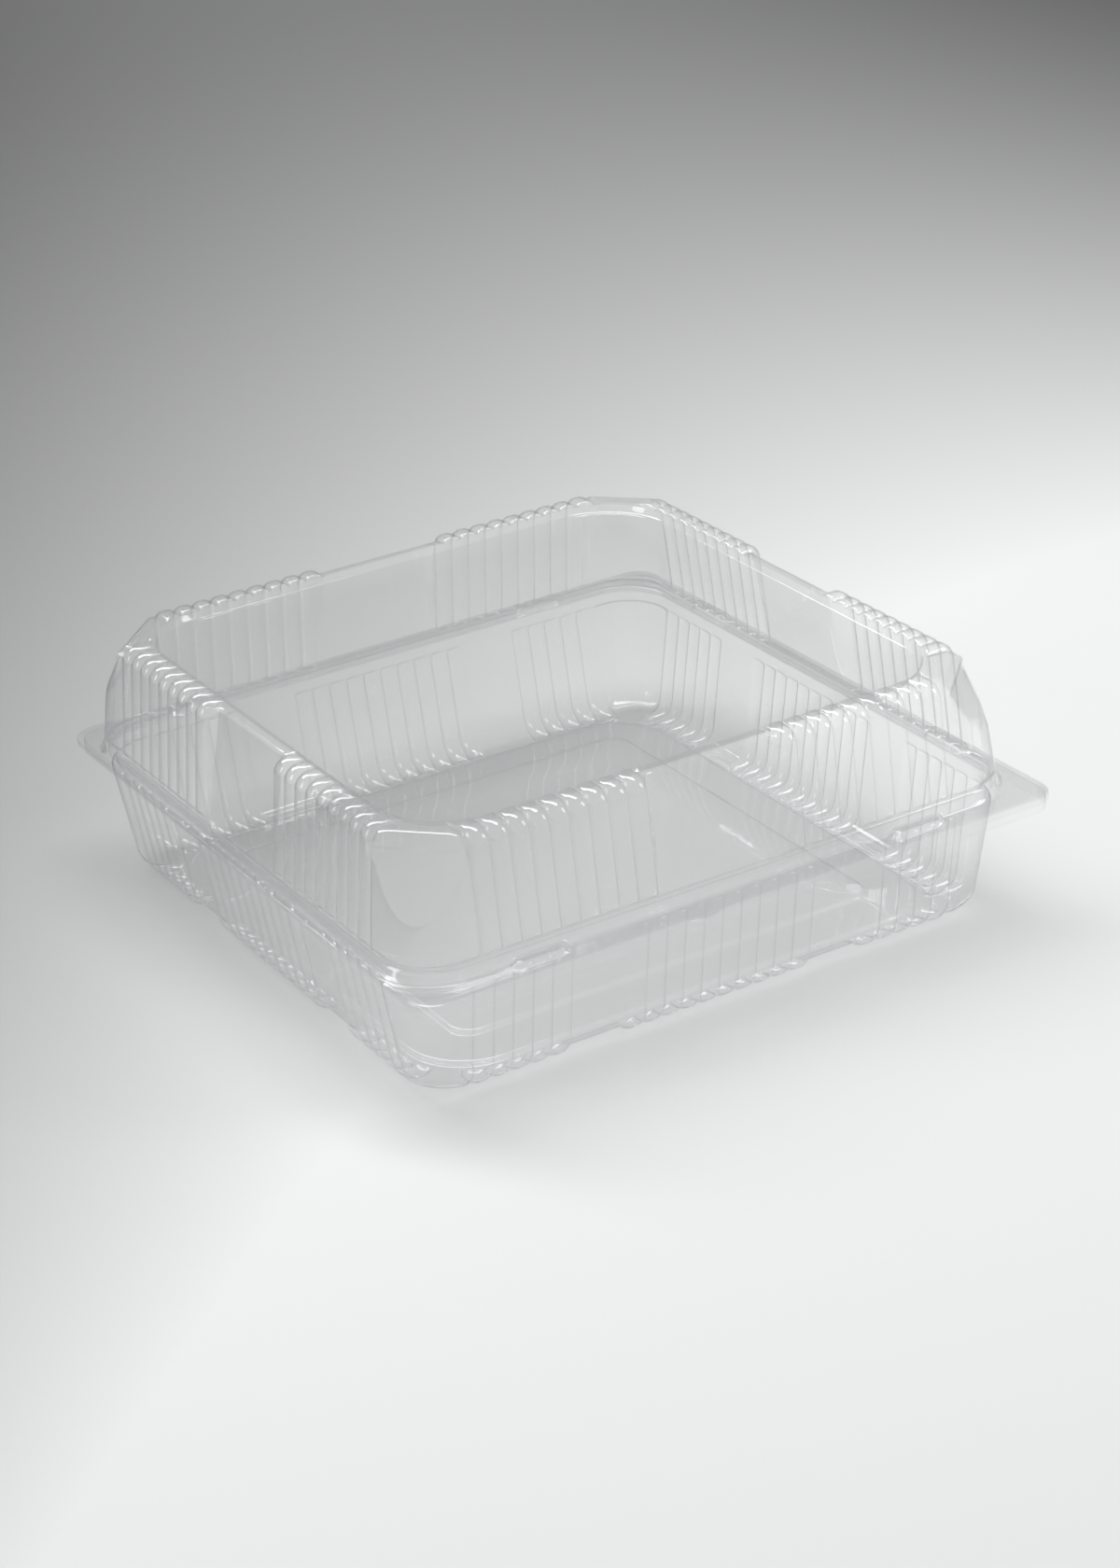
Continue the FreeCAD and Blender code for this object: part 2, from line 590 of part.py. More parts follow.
def main():
    os.makedirs("parts", exist_ok=True)
    doc = FreeCAD.newDocument("clamshell")
    make_sheet(doc)
    lid = cut(doc, "lid", lid_form(doc, "lid_outside", "0", "0"),
              lid_form(doc, "lid_inside", "Sizes.wall", "Sizes.wall"))
    tray = cut(doc, "tray", tray_outside(doc), tray_inside(doc))
    nodes = [tray, lid, hinge_form(doc)]
    for node in nodes:
        node.setExpression("Placement.Base.x", "Sizes.shift_across")
        node.setExpression("Placement.Base.y", "Sizes.shift_along")
    doc.recompute()
    for item in doc.Objects:
        if "Invalid" in item.State or "Error" in item.State:
            raise RuntimeError("%s did not build" % item.Label)
    for node in nodes:
        shape = node.Shape
        if shape.isNull() or not shape.isValid():
            raise RuntimeError("%s has no sound shape" % node.Label)
        if len(shape.Solids) != 1:
            raise RuntimeError("%s is not one solid" % node.Label)
        shape.exportStep("parts/%s.step" % node.Label)
        print(node.Label, round(shape.Volume), shape.BoundBox)


main()
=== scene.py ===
"""Clear clamshell pack, closed, on a pale studio floor.

Each shell is grown ring by ring from a circle: from the turned-down lip, over the flange and up
or down the ribbed wall, to the middle of the panel. Lengths are millimetres until a ring is
placed. The pack's front faces -Y and its fold is on -X.
"""
import math

import bmesh
import bpy
from mathutils import Matrix, Vector


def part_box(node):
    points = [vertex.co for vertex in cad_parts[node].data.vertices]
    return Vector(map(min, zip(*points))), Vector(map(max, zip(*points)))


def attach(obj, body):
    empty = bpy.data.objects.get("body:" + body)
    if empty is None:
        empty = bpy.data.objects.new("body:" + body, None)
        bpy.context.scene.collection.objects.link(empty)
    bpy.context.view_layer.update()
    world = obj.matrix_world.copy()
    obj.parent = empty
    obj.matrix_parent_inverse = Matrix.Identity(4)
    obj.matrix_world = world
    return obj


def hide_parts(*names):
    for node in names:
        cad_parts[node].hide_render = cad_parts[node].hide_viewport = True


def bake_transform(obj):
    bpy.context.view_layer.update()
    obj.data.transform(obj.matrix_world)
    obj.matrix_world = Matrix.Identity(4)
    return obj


bl_info = {
    "name": "Clear Clamshell Pack",
    "version": (1, 0, 0),
    "blender": (4, 5, 0),
    "location": "3D View > Sidebar > Clamshell",
    "description": "Dresses the clamshell pack's frame with ribbed clear shells, a fold and a studio",
    "category": "Object",
}

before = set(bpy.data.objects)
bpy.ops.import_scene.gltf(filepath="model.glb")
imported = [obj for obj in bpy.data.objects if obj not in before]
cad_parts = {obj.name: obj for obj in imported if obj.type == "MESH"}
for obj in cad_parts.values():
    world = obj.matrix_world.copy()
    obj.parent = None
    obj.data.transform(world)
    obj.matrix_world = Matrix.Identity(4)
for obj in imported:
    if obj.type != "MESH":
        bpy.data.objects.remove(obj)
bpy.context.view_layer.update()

MM = 0.001
LID_LOW, LID_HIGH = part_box("lid")
TRAY_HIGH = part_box("tray")[1]

# The dome's middle, which stands beside the middle of the whole outline.
CENTRE_X = -2.25
CENTRE_Y = 1.25

SHEET = 0.35

# Levels of the rims and the top, and how far the edges reach from the dome's middle.
LID_LIP = 2.3
TRAY_LIP = 4.7
RIDGE = 3.0
RIM = LID_LOW[2] / MM + LID_LIP
CREST = LID_HIGH[2] / MM
BORDER = CREST - 1.0
TRAY_RIM = TRAY_HIGH[2] / MM - RIDGE
RIM_RIGHT = LID_HIGH[0] / MM - CENTRE_X
RIM_BACK = LID_HIGH[1] / MM - CENTRE_Y
RIM_LEFT = CENTRE_X - LID_LOW[0] / MM
NOSE_REACH = CENTRE_Y - LID_LOW[1] / MM - RIM_BACK
TRAY_RIGHT = TRAY_HIGH[0] / MM - CENTRE_X
TRAY_BACK = TRAY_HIGH[1] / MM - CENTRE_Y
TRAY_LEFT = 108.3
LIP_INSET = 0.8

# Rows of ribs: where each begins along a side, how many ribs it has and where the side ends.
PITCH = 6.6
LID_ROWS = ((-82.4, 9), (23.0, 9))
LID_SIDE_END = 83.0
TRAY_ROWS = ((-85.6, 5), (-33.0, 10), (52.6, 5))
TRAY_SIDE_END = 86.0
RIB_STEPS = (0.0, 0.05, 0.14, 0.3, 0.5, 0.7, 0.86, 0.95)
RIB_FLATNESS = 3.4
RIB_ROUNDING = 0.85
BESIDE_RIBS = 1.8
CORNER_RUN = 2.4
CORNER_COLUMNS = 26
CORNER_CROWDING = 1.5
PLAIN_STEP = 3.0

NOSE_PLACE = -15.0
NOSE_HALF = 10.0
NOSE_POINT = 1.4
SNAP_PLACE = 67.0
SNAP_LINE = 110.9
SNAP_RUN = 6.6
SNAP_RISE = 1.9
SNAP_SLOPE = 0.7
LID_SNAP_HALF = 3.2
TRAY_SNAP_HALF = 2.4
RIM_OF = {LID_SNAP_HALF: RIM, TRAY_SNAP_HALF: TRAY_RIM}

# Fold: half a tube of thin sheet, a little clear of the lid's edge.
HINGE_HALF = 69.0
FOLD_RADIUS = 0.65
FOLD_CLEAR = 0.1
FOLD_SHEET = 0.15

# Lid: shoulder, wall, crown and sunk panel.
SHOULDER_HALF = 110.2
SHOULDER_RISE = 4.0
SHOULDER_CORNER = 20.0
WALL_FOOT = 106.0
WALL_LEAN = 0.106
PLAIN_LEAN = 0.2
WALL_CORNER = 18.0
TURN_CORNER = 16.0
LID_RIB = 1.8
RIB_SINK = 0.8
CROWN_BEND = 4.5
PLAIN_BEND = 2.0
RECESS_EDGE = 95.05

# Tray: ridge, wall, feet and the two steps of the floor. Its rings are its inner face.
RIDGE_HALF = 107.3
TRAY_MOUTH = 105.6 - SHEET
TRAY_FOOT = 101.0 - SHEET
TRAY_LAND = 0.7 + SHEET
TRAY_BEND = 6.4
TRAY_RIB = 1.5

# Sheet's look: how late it greys towards edge-on, how much more it shines than one bare face,
# and what its shadow lets through.
EDGE_POWER = 5.0
GLOSS_GAIN = 1.7
SHADOW_TINT = (0.9, 0.9, 0.9, 1.0)

# Floor paper: painted shade, the fall of light painted into its colour, in powers of metres behind
# and beside the pack.
FLOOR_BACK = -1.376
FLOOR_ASIDE = 2.8
FLOOR_BACK_BEND = 0.543
FLOOR_ASIDE_BEND = -3.3
FLOOR_TWIST = -2.3
FLOOR_LIMIT = 1.06
FLOOR_REACH_BACK = (-0.5, 1.6)
FLOOR_REACH_ASIDE = (-0.5, 0.5)
FLOOR_TURN = 30.0

# Air round the pack: what lights it, and what shows in its gloss in front and behind.
AIR_PLAIN = 0.42
AIR_FRONT = 0.88
AIR_BEHIND = 0.46
AIR_AHEAD = (0.5, 0.87)
AIR_START = 0.3
AIR_GAIN = 1.1

CAMERA_PLACE = (-0.49745, -0.86705, 0.5137)
CAMERA_YAW = 30.064
CAMERA_DIP = 25.59
CAMERA_ROLL = -3.58
CAMERA_LENS = 79.57


class Ring:
    """One closed line of a shell: its height, its half widths and how the ribs show there.

    plain is the half width and height where no rib stands, turn the half width, height, radius
    and cut of the corners; where they are left out the line has the same profile all round.
    """

    def __init__(self, height, half, radius, depth=0.0, sink=0.0, push=(1.0, 0.0), plain=None,
                 turn=None, nose=0.0, snap=0.0, snap_half=0.0):
        self.height = height
        self.halves = half if isinstance(half, tuple) else (half,) * 4
        self.radius = radius
        self.depth = depth
        self.sink = sink
        self.push = push
        self.plain = plain
        self.turn = turn
        self.nose = nose
        self.snap = snap
        self.snap_half = snap_half


class Rows:
    """Where the ribs of a shell stand along each side."""

    def __init__(self, starts, edge):
        self.starts = starts
        self.edge = edge
        self.end = starts[-1][0] + starts[-1][1] * PITCH

    def stops(self):
        """Places along a side, each with the rib's height there, or None between the rows."""
        stops = []
        place = -self.edge
        for start, count in self.starts:
            stops += plain_stops(place, start)
            for rib in range(count):
                for share in RIB_STEPS:
                    height = None if rib == 0 and share == 0 else rib_shape(share)
                    stops.append((start + (rib + share) * PITCH, height))
            place = start + count * PITCH
        return stops + plain_stops(place, self.edge)

    def gap_share(self, along):
        """0 beside a row of ribs and 1 where the plain wall between two rows is reached."""
        inside = min(abs(along - start) for start, _ in self.starts)
        after = min(abs(along - start - count * PITCH) for start, count in self.starts)
        return ease(min(inside, after) / BESIDE_RIBS)


def ease(share):
    """A share between 0 and 1 that starts and ends gently."""
    share = min(1.0, max(0.0, share))
    return share * share * (3 - 2 * share)


def plain_stops(start, end):
    """Places between two rows, closer together beside the ribs."""
    span = end - start
    if span < 5:
        count = max(1, round(span))
        return [(start + span * step / count, None) for step in range(count)]
    near = (0.0, 0.5, 1.0, BESIDE_RIBS)
    wide = span - 2 * BESIDE_RIBS
    middle = max(1, round(wide / PLAIN_STEP))
    places = [start + step for step in near]
    places += [start + BESIDE_RIBS + wide * step / middle for step in range(1, middle)]
    places += [end - step for step in reversed(near[1:])]
    return [(place, None) for place in places]


def rib_shape(share):
    """Height of a rib across its width, 0 in the crease at each side and 1 on the crest."""
    across = abs(2 * share - 1)
    return (1 - across ** RIB_FLATNESS) ** RIB_ROUNDING


def columns_of(rows):
    """The columns of a shell, side by side and corner by corner round the pack."""
    columns = []
    for side in range(4):
        columns += [(side, "side", place, height) for place, height in rows.stops()]
        for turn in range(CORNER_COLUMNS):
            share = 2 * turn / CORNER_COLUMNS - 1
            angle = 45 - 45 * math.copysign(abs(share) ** CORNER_CROWDING, share)
            columns.append((side, "corner", math.radians(angle), None))
    return columns


def corner_point(angle, edge, across, out, radius, cut):
    """Where a ray from the corner of the inner square meets the round or cut-off outline."""
    ray = Vector((math.cos(angle), math.sin(angle)))
    start = Vector((edge, edge))
    reach = min((out - edge) / max(ray.y, 1e-9), (across - edge) / max(ray.x, 1e-9))
    centre = Vector((across - radius, out - radius))
    along = ray.dot(start - centre)
    spare = along ** 2 - (start - centre).length_squared + radius ** 2
    if spare > 0:
        point = start + ray * (math.sqrt(spare) - along)
        if point.x >= centre.x and point.y >= centre.y:
            reach = min(reach, math.sqrt(spare) - along)
    flat = (across + out - cut - 2 * edge) / (ray.x + ray.y)
    return start + ray * min(reach, flat)


def side_point(along, beside, out, radius):
    """A point of a side, drawn in where the corner's arc has begun."""
    past = max(0.0, abs(along) - (beside - radius))
    drop = radius - math.sqrt(max(0.0, radius ** 2 - past ** 2))
    return Vector((along, out - drop))


def snap_rise(along, out, ring):
    """How far a snap button lifts the flange at a place on the front, right or back side."""
    past = max(0.0, abs(abs(along) - SNAP_PLACE) - SNAP_RUN)
    away = math.hypot(past, out - SNAP_LINE)
    return ring.snap * min(1.0, max(0.0, (ring.snap_half - away) / SNAP_SLOPE))


def place_on(ring, column, rows):
    """The point of a ring on one column, in metres."""
    side, kind, value, rib = column
    out = ring.halves[side]
    across = ring.halves[(side + 1) % 4]
    shrink = min(1.0, (min(ring.halves) - 0.3 * ring.radius - 3.0) / rows.edge)
    height = ring.height
    if kind == "corner":
        point = corner_point(value, rows.edge * shrink, across, out, ring.radius, 0.0)
    else:
        along = value * shrink
        beside = across if along > 0 else ring.halves[(side - 1) % 4]
        point = side_point(along, beside, out, ring.radius)
        swell = (ring.depth * rib if rib is not None else 0.0) - ring.sink
        point.y += swell * ring.push[0]
        height += swell * ring.push[1]
        if ring.plain and rib is None and abs(value) < rows.end:
            share = rows.gap_share(value)
            point.y += (ring.plain[0] - point.y) * share
            height += (ring.plain[1] - height) * share
        if ring.nose and side == 0:
            away = abs(along - NOSE_PLACE) / NOSE_HALF
            point.y += ring.nose * max(0.0, 1 - away) ** NOSE_POINT
    if ring.turn and rib is None:
        half, level, radius, cut = ring.turn
        share = ease((min(abs(point.x), point.y) - rows.end) / CORNER_RUN)
        if kind == "corner":
            turned = corner_point(value, rows.edge * shrink, half, half, radius, cut)
        else:
            turned = side_point(value * shrink, half, half, radius)
        point += (turned - point) * share
        height += (level - height) * share
    if ring.snap and side < 3:
        lift = snap_rise(point.x, point.y, ring)
        height = max(height, RIM_OF[ring.snap_half] + lift) if lift > 0 else height
    spun = Matrix.Rotation(math.pi / 2 * side, 2) @ Vector((point.x, -point.y))
    return Vector((spun.x + CENTRE_X, spun.y + CENTRE_Y, height)) * MM


def rim_halves(inset, front, right, back, left):
    """Half widths of a rim line on the four sides, drawn in by inset."""
    return (front - inset, right - inset, back - inset, left - inset)


def mixed(low, high, share):
    """The value that lies share of the way from low to high."""
    return low + (high - low) * share


def lid_flange():
    """The turned-down lip and the flat flange, with the nose and the snap buttons."""
    rings = []
    for height, inset in ((RIM - LID_LIP, 0.0), (RIM - 0.5, 0.0), (RIM - 0.15, 0.15), (RIM, 0.5)):
        halves = rim_halves(inset, RIM_BACK, RIM_RIGHT, RIM_BACK, RIM_LEFT)
        halves = tuple(max(half, SHOULDER_HALF) for half in halves)
        rings.append(Ring(height, halves, 8.0, nose=NOSE_REACH))
    for half in (115.5, 114.4, 114.0, 113.6, 113.2, 112.4, 111.4, 110.9):
        left = min(half, SHOULDER_HALF + 0.1)
        right = min(half, RIM_RIGHT - LIP_INSET)
        share = (half - SHOULDER_HALF) / 7.3
        rings.append(Ring(RIM, (half, right, half, left), SHOULDER_CORNER - 10.0 * share,
                          nose=NOSE_REACH * max(0.0, share) ** 2, snap=SNAP_RISE,
                          snap_half=LID_SNAP_HALF))
    return rings


def lid_shoulder():
    """The step that fits over the tray's ridge; the snap buttons run into it."""
    rings = []
    for rise, half in ((0.05, 110.3), (0.4, 109.95), (1.6, 109.3), (3.2, 108.5), (3.75, 108.2)):
        rings.append(Ring(RIM + rise, half, SHOULDER_CORNER - rise / 2, snap=SNAP_RISE,
                          snap_half=LID_SNAP_HALF))
    rings.append(Ring(RIM + SHOULDER_RISE, 107.95, WALL_CORNER))
    return rings


def wall_half(height):
    """Half width of the lid's wall in the creases beside the ribs."""
    return WALL_FOOT - WALL_LEAN * (height - RIM - SHOULDER_RISE)


def plain_half(height):
    """Half width of the lid's wall between the rows, where it leans in further."""
    return WALL_FOOT - PLAIN_LEAN * (height - RIM - SHOULDER_RISE)


def lid_wall():
    """The ribbed wall from the shoulder to the crown; facets grow in its upper corners."""
    low = RIM + SHOULDER_RISE
    rings = []
    for rise, swell in ((0.0, 0.0), (0.12, 0.45), (0.45, 0.75), (1.0, 0.94), (1.8, 1.0)):
        half = wall_half(low + rise)
        rings.append(Ring(low + rise, half, WALL_CORNER, depth=LID_RIB * swell,
                          plain=(plain_half(low + rise), low + rise),
                          turn=(half + LID_RIB * swell, low + rise, TURN_CORNER, 0.0)))
    for step in range(1, 12):
        height = mixed(low + 1.8, BORDER - CROWN_BEND, step / 11)
        half = wall_half(height)
        cut = mixed(9.2, 20.2, (height - 61.0) / 18.0)
        rings.append(Ring(height, half, WALL_CORNER, depth=LID_RIB,
                          plain=(plain_half(height), height),
                          turn=(half + LID_RIB, height, TURN_CORNER, max(0.0, cut))))
    return rings


def plain_crown(share):
    """Half width and height of the plain wall's crown, which turns over more tightly."""
    straight = 0.35
    top = BORDER - PLAIN_BEND
    if share <= straight:
        height = mixed(BORDER - CROWN_BEND, top, share / straight)
        return plain_half(height), height
    angle = math.radians(90 * (share - straight) / (1 - straight))
    return (plain_half(top) - PLAIN_BEND * (1 - math.cos(angle)),
            top + PLAIN_BEND * math.sin(angle))


def lid_crown():
    """The bend from the wall to the border round the sunk panel."""
    top = BORDER - CROWN_BEND
    crown = wall_half(top)
    widest = 0.4
    rings = []
    for step in range(1, 9):
        share = step / 8
        angle = math.radians(90 * share)
        rise, back = CROWN_BEND * math.sin(angle), CROWN_BEND * (1 - math.cos(angle))
        if share < widest:
            cut = mixed(18.3, 20.2, share / widest)
        else:
            cut = mixed(20.2, 16.4, (share - widest) / (1 - widest))
        turn = (crown + LID_RIB - back * 1.08, top + rise, mixed(TURN_CORNER, 21.0, share), cut)
        rings.append(Ring(top + rise, crown - back, WALL_CORNER, depth=LID_RIB,
                          sink=RIB_SINK * share, push=(math.cos(angle), math.sin(angle)),
                          plain=plain_crown(share), turn=turn))
    for half, share in ((95.75, 0.97), (95.5, 0.86), (95.3, 0.66), (95.15, 0.4),
                        (RECESS_EDGE, 0.0)):
        rings.append(Ring(BORDER, half, 23.5, depth=LID_RIB * share, sink=RIB_SINK * share,
                          push=(0.0, 1.0), plain=(RECESS_EDGE, BORDER)))
    return rings


def lid_panel():
    """The sunk top panel, down its rounded edge and in to its middle."""
    sunk = 2.5
    rings = []
    for half, drop in ((94.8, 0.0), (94.55, 0.12), (94.4, 0.5), (93.9, 1.9), (93.6, 2.35),
                       (93.2, sunk)):
        rings.append(Ring(BORDER - drop, half, 25.0))
    for half in (80.0, 40.0, 8.0):
        rings.append(Ring(BORDER - sunk, half, 25.0 * half / 93.2))
    return rings


def lid_rings():
    """The lid's outer face from the lip to the sunk panel."""
    return lid_flange() + lid_shoulder() + lid_wall() + lid_crown() + lid_panel()


def tray_flange():
    """The turned-down lip and the flange, with the nose and the snap buttons."""
    rings = []
    for height, inset in ((TRAY_RIM - TRAY_LIP, 0.0), (TRAY_RIM - 0.5, 0.0),
                          (TRAY_RIM - 0.15, 0.15), (TRAY_RIM, 0.5)):
        halves = rim_halves(inset, TRAY_BACK, TRAY_RIGHT, TRAY_BACK, TRAY_LEFT)
        rings.append(Ring(height, halves, 7.2, nose=NOSE_REACH))
    for half in (115.0, 113.6, 113.1, 112.6, 111.6, 110.4, 109.4, 108.8, 108.2):
        left = min(half, TRAY_LEFT - 0.6)
        right = min(half, TRAY_RIGHT - LIP_INSET)
        rings.append(Ring(TRAY_RIM, (half, right, half, left), 18.0 - (half - 107.4),
                          nose=NOSE_REACH * max(0.0, (half - 108.2) / 8.5) ** 2,
                          snap=SNAP_RISE, snap_half=TRAY_SNAP_HALF))
    return rings


def tray_ridge():
    """The sealing ridge, up its outer side, over its rounded top and down inside."""
    rings = []
    for rise, half in ((0.05, 107.6), (0.4, 107.35), (2.5, RIDGE_HALF), (2.9, 107.1),
                       (RIDGE, 106.8), (RIDGE, 105.9), (2.9, 105.6), (2.5, 105.35)):
        rings.append(Ring(TRAY_RIM + rise, half, 18.0))
    rings.append(Ring(TRAY_RIM, TRAY_MOUTH, 18.0))
    return rings


def tray_wall():
    """The ribbed wall from under the ridge, and round the lower edge to the ribs' feet."""
    low = TRAY_LAND + TRAY_BEND
    high = TRAY_RIM - RIDGE
    rings = []
    for drop, swell in ((0.0, 0.0), (0.1, 0.4), (0.5, 0.75), (1.2, 0.95), (2.2, 1.0)):
        half = mixed(TRAY_MOUTH, TRAY_FOOT, drop / (high - low))
        rings.append(Ring(high - drop, half, 17.0, depth=TRAY_RIB * swell,
                          turn=(half + TRAY_RIB * swell, high - drop, 16.0, 0.0)))
    for share in (0.2, 0.36, 0.52, 0.68, 0.84, 1.0):
        half = mixed(TRAY_MOUTH, TRAY_FOOT, share)
        height = mixed(high, low, share)
        rings.append(Ring(height, half, 16.0, depth=TRAY_RIB,
                          turn=(half + TRAY_RIB, height, mixed(16.0, 13.0, share), 0.0)))
    for step in range(1, 9):
        share = step / 8
        angle = math.radians(90 * share)
        drop, back = TRAY_BEND * math.sin(angle), TRAY_BEND * (1 - math.cos(angle))
        turn = (TRAY_FOOT + TRAY_RIB - back, low - drop, mixed(13.0, 17.0, share), 0.0)
        rings.append(Ring(low - drop, TRAY_FOOT - back, 15.0, depth=TRAY_RIB,
                          sink=RIB_SINK * share, push=(math.cos(angle), -math.sin(angle)),
                          turn=turn))
    for half, share in ((93.9, 0.97), (93.5, 0.8), (93.2, 0.45), (92.95, 0.0)):
        rings.append(Ring(TRAY_LAND, half, 20.5, depth=TRAY_RIB * share,
                          sink=RIB_SINK * share, push=(0.0, -1.0)))
    return rings


def tray_floor():
    """The raised floor and, one step higher, the panel in its middle."""
    step = 1.5
    rings = []
    for half, rise in ((91.8, 0.0), (91.4, 0.15), (91.0, 0.7), (90.6, 1.3), (90.0, step)):
        rings.append(Ring(TRAY_LAND + rise, half, 21.0))
    for half, rise in ((76.5, step), (76.1, 1.65), (75.7, 2.2), (75.3, 2.8), (74.8, 2 * step)):
        rings.append(Ring(TRAY_LAND + rise, half, 7.0))
    for half in (60.0, 30.0, 8.0):
        rings.append(Ring(TRAY_LAND + 2 * step, half, 6.0 * half / 75.0))
    return rings


def tray_rings():
    """The tray's upper face from the lip, over the sealing ridge, to the raised floor."""
    return tray_flange() + tray_ridge() + tray_wall() + tray_floor()


def deselect():
    """Leaves nothing selected, so that the next operator acts on the new piece alone."""
    bpy.ops.object.select_all(action="DESELECT")


def grow_shell(name, rings, rows):
    """A shell grown from a circle: each ring is extruded from the last and set on its outline."""
    columns = columns_of(rows)
    deselect()
    bpy.ops.mesh.primitive_circle_add(vertices=len(columns), radius=0.1)
    shell = bpy.context.object
    shell.name = name
    bpy.ops.object.mode_set(mode="EDIT")
    bpy.ops.mesh.select_mode(type="VERT")
    mesh = bmesh.from_edit_mesh(shell.data)
    mark = mesh.verts.layers.int.new("column")
    start = sorted(mesh.verts, key=lambda vert: vert.index)
    for number, vert in enumerate(start):
        vert[mark] = number
        vert.co = place_on(rings[0], columns[number], rows)
    bmesh.update_edit_mesh(shell.data)
    for ring in rings[1:]:
        bpy.ops.mesh.extrude_edges_move()
        mesh = bmesh.from_edit_mesh(shell.data)
        mark = mesh.verts.layers.int["column"]
        for vert in mesh.verts:
            if vert.select:
                vert.co = place_on(ring, columns[vert[mark]], rows)
        bmesh.update_edit_mesh(shell.data)
    bpy.ops.mesh.edge_face_add()
    bpy.ops.mesh.select_all(action="SELECT")
    bpy.ops.mesh.normals_make_consistent(inside=False)
    mesh = bmesh.from_edit_mesh(shell.data)
    middle = max(mesh.faces, key=lambda face: len(face.verts))
    if middle.normal.z < 0:
        bpy.ops.mesh.flip_normals()
    bpy.ops.object.mode_set(mode="OBJECT")
    return shell


def thicken(shell, sheet):
    """Gives the shell its wall, under and behind the face that was drawn."""
    wall = shell.modifiers.new("wall", "SOLIDIFY")
    wall.thickness = sheet
    wall.offset = -1.0
    deselect()
    shell.select_set(True)
    bpy.context.view_layer.objects.active = shell
    bpy.ops.object.modifier_apply(modifier=wall.name)
    bpy.ops.object.shade_smooth_by_angle(angle=math.radians(38))


def free_hinge_edge(shell):
    """Takes the lip off along the fold, where the lid's edge runs on into the hinge."""
    bpy.context.view_layer.objects.active = shell
    bpy.ops.object.mode_set(mode="EDIT")
    bpy.ops.mesh.select_mode(type="FACE")
    bpy.ops.mesh.select_all(action="DESELECT")
    mesh = bmesh.from_edit_mesh(shell.data)
    for face in mesh.faces:
        spot = face.calc_center_median() / MM
        low = spot.z < RIM - 0.1 and spot.x < CENTRE_X - RIM_LEFT + 0.6
        if low and abs(spot.y - CENTRE_Y) < HINGE_HALF + 0.5:
            face.select = True
    bmesh.update_edit_mesh(shell.data)
    bpy.ops.mesh.delete(type="FACE")
    bpy.ops.object.mode_set(mode="OBJECT")


def link_math(tree, operation, first, second, clamp=False):
    """A Math node whose inputs are sockets or plain numbers; its result socket comes back."""
    node = tree.nodes.new("ShaderNodeMath")
    node.operation = operation
    node.use_clamp = clamp
    for slot, value in enumerate((first, second)):
        if isinstance(value, (int, float)):
            node.inputs[slot].default_value = value
        else:
            tree.links.new(value, node.inputs[slot])
    return node.outputs["Value"]


def colour_mix(tree, share, first, second):
    """A Mix node between two colours, each a plain colour or a socket; its result comes back."""
    node = tree.nodes.new("ShaderNodeMix")
    node.data_type = "RGBA"
    tree.links.new(share, node.inputs["Factor"])
    for slot, colour in (("A", first), ("B", second)):
        if isinstance(colour, tuple):
            node.inputs[slot].default_value = colour
        else:
            tree.links.new(colour, node.inputs[slot])
    return node.outputs["Result"]


def grey(level):
    """A plain grey as a colour."""
    return (level, level, level, 1.0)


def clear_plastic(name, clear, edge_on, haze):
    """Thin clear sheet: see-through, greyer where it is seen edge-on, and glossy outside."""
    material = bpy.data.materials.new(name)
    material.use_nodes = True
    tree = material.node_tree
    nodes = tree.nodes
    links = tree.links
    nodes.clear()
    out = nodes.new("ShaderNodeOutputMaterial")
    through = nodes.new("ShaderNodeBsdfTransparent")
    gloss = nodes.new("ShaderNodeBsdfPrincipled")
    gloss.inputs["Base Color"].default_value = (0.9, 0.91, 0.92, 1.0)
    gloss.inputs["Roughness"].default_value = haze
    gloss.inputs["Metallic"].default_value = 1.0

    where = nodes.new("ShaderNodeTexCoord")
    flow = nodes.new("ShaderNodeTexNoise")
    flow.inputs["Scale"].default_value = 60.0
    flow.inputs["Detail"].default_value = 2.0
    ripple = nodes.new("ShaderNodeBump")
    ripple.inputs["Strength"].default_value = 0.12
    ripple.inputs["Distance"].default_value = 0.002
    links.new(where.outputs["Object"], flow.inputs["Vector"])
    links.new(flow.outputs["Fac"], ripple.inputs["Height"])
    links.new(ripple.outputs["Normal"], gloss.inputs["Normal"])

    facing = nodes.new("ShaderNodeLayerWeight")
    facing.inputs["Blend"].default_value = 0.5
    steep = link_math(tree, "POWER", facing.outputs["Facing"], EDGE_POWER)
    tint = colour_mix(tree, steep, clear, edge_on)
    rays = nodes.new("ShaderNodeLightPath")
    shadow = nodes.new("ShaderNodeMix")
    shadow.data_type = "RGBA"
    shadow.blend_type = "MULTIPLY"
    shadow.inputs["B"].default_value = SHADOW_TINT
    links.new(rays.outputs["Is Shadow Ray"], shadow.inputs["Factor"])
    links.new(tint, shadow.inputs["A"])
    links.new(shadow.outputs["Result"], through.inputs["Color"])

    bounce = nodes.new("ShaderNodeFresnel")
    bounce.inputs["IOR"].default_value = 1.57
    turned = nodes.new("ShaderNodeNewGeometry")
    outside = link_math(tree, "SUBTRACT", 1.0, turned.outputs["Backfacing"])
    both = link_math(tree, "MULTIPLY", bounce.outputs["Fac"], outside)
    shine = link_math(tree, "MULTIPLY", both, GLOSS_GAIN, clamp=True)
    mix = nodes.new("ShaderNodeMixShader")
    links.new(shine, mix.inputs[0])
    links.new(through.outputs["BSDF"], mix.inputs[1])
    links.new(gloss.outputs["BSDF"], mix.inputs[2])
    links.new(mix.outputs["Shader"], out.inputs["Surface"])
    return material


